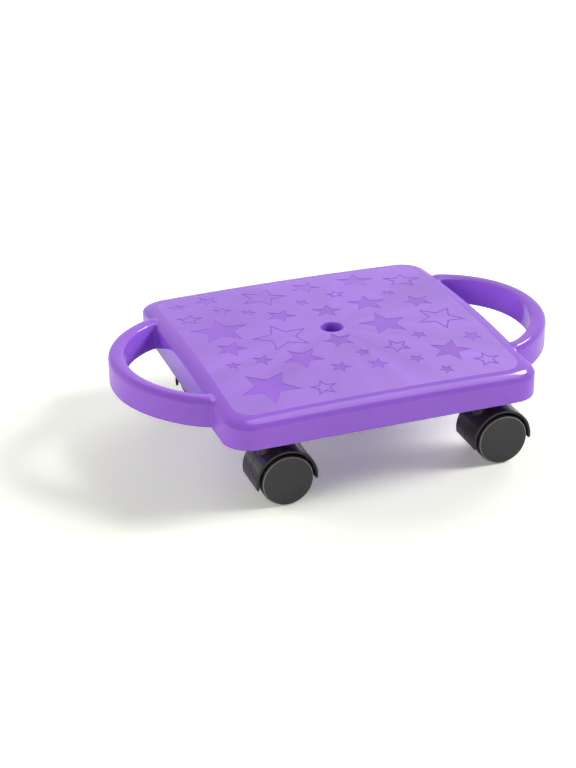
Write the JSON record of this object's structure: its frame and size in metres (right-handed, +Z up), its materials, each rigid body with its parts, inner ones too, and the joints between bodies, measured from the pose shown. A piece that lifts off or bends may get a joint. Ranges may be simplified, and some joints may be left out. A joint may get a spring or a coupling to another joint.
{
  "type": "scooter board",
  "caption": "Low square scooter board with a crowned moulded deck, a loop handle on each side, a rope hole in the middle and twin-wheel swivel casters at the corners.",
  "frame": {"origin": "on the floor, under the middle of the deck", "axes": "+X along the line through the two handles, towards the right handle in the picture, +Y from the front edge to the back edge, +Z up"},
  "size_m": [0.435, 0.297, 0.1049],
  "materials": {
    "deck_plastic": "glossy moulded purple plastic, frosted on the top panel",
    "caster_plastic": "satin black nylon",
    "hub_plastic": "satin charcoal nylon",
    "tread_rubber": "black rubber-like tread",
    "plain_steel": "plain zinc-plated steel",
    "spring_steel": "spring steel",
    "socket_steel": "zinc-plated steel sleeve"
  },
  "bodies": {
    "board": {"deck": "deck_plastic", "front_left_socket": "socket_steel", "front_left_grip_ring": "spring_steel", "front_right_socket": "socket_steel", "front_right_grip_ring": "spring_steel", "rear_left_socket": "socket_steel", "rear_left_grip_ring": "spring_steel", "rear_right_socket": "socket_steel", "rear_right_grip_ring": "spring_steel"},
    "front_left_caster": {"front_left_stem": "plain_steel", "front_left_housing": "caster_plastic", "front_left_axle": "plain_steel"},
    "front_left_near_wheel": {"front_left_near_hub": "hub_plastic", "front_left_near_tread": "tread_rubber"},
    "front_left_far_wheel": {"front_left_far_hub": "hub_plastic", "front_left_far_tread": "tread_rubber"},
    "front_right_caster": {"front_right_stem": "plain_steel", "front_right_housing": "caster_plastic", "front_right_axle": "plain_steel"},
    "front_right_near_wheel": {"front_right_near_hub": "hub_plastic", "front_right_near_tread": "tread_rubber"},
    "front_right_far_wheel": {"front_right_far_hub": "hub_plastic", "front_right_far_tread": "tread_rubber"},
    "rear_left_caster": {"rear_left_stem": "plain_steel", "rear_left_housing": "caster_plastic", "rear_left_axle": "plain_steel"},
    "rear_left_near_wheel": {"rear_left_near_hub": "hub_plastic", "rear_left_near_tread": "tread_rubber"},
    "rear_left_far_wheel": {"rear_left_far_hub": "hub_plastic", "rear_left_far_tread": "tread_rubber"},
    "rear_right_caster": {"rear_right_stem": "plain_steel", "rear_right_housing": "caster_plastic", "rear_right_axle": "plain_steel"},
    "rear_right_near_wheel": {"rear_right_near_hub": "hub_plastic", "rear_right_near_tread": "tread_rubber"},
    "rear_right_far_wheel": {"rear_right_far_hub": "hub_plastic", "rear_right_far_tread": "tread_rubber"}
  },
  "joints": [
    {"name": "front_left_swivel", "type": "hinge", "parent": "board", "child": "front_left_caster", "pos_m": [-0.1073, -0.112, 0.0598], "axis": [0, 0, 1], "continuous": true},
    {"name": "front_left_near_roll", "type": "hinge", "parent": "front_left_caster", "child": "front_left_near_wheel", "pos_m": [-0.0941, -0.12705, 0.025], "axis": [0, 1, 0], "continuous": true},
    {"name": "front_left_far_roll", "type": "hinge", "parent": "front_left_caster", "child": "front_left_far_wheel", "pos_m": [-0.0941, -0.09695, 0.025], "axis": [0, 1, 0], "continuous": true},
    {"name": "front_right_swivel", "type": "hinge", "parent": "board", "child": "front_right_caster", "pos_m": [0.1073, -0.112, 0.0598], "axis": [0, 0, 1], "continuous": true},
    {"name": "front_right_near_roll", "type": "hinge", "parent": "front_right_caster", "child": "front_right_near_wheel", "pos_m": [0.1205, -0.12705, 0.025], "axis": [0, 1, 0], "continuous": true},
    {"name": "front_right_far_roll", "type": "hinge", "parent": "front_right_caster", "child": "front_right_far_wheel", "pos_m": [0.1205, -0.09695, 0.025], "axis": [0, 1, 0], "continuous": true},
    {"name": "rear_left_swivel", "type": "hinge", "parent": "board", "child": "rear_left_caster", "pos_m": [-0.1073, 0.112, 0.0598], "axis": [0, 0, 1], "continuous": true},
    {"name": "rear_left_near_roll", "type": "hinge", "parent": "rear_left_caster", "child": "rear_left_near_wheel", "pos_m": [-0.0949, 0.10748, 0.025], "axis": [0.342, 0.9397, 0], "continuous": true},
    {"name": "rear_left_far_roll", "type": "hinge", "parent": "rear_left_caster", "child": "rear_left_far_wheel", "pos_m": [-0.0949, 0.10748, 0.025], "axis": [0.342, 0.9397, 0], "continuous": true},
    {"name": "rear_right_swivel", "type": "hinge", "parent": "board", "child": "rear_right_caster", "pos_m": [0.1073, 0.112, 0.0598], "axis": [0, 0, 1], "continuous": true},
    {"name": "rear_right_near_roll", "type": "hinge", "parent": "rear_right_caster", "child": "rear_right_near_wheel", "pos_m": [0.1205, 0.09695, 0.025], "axis": [0, 1, 0], "continuous": true},
    {"name": "rear_right_far_roll", "type": "hinge", "parent": "rear_right_caster", "child": "rear_right_far_wheel", "pos_m": [0.1205, 0.12705, 0.025], "axis": [0, 1, 0], "continuous": true}
  ]
}
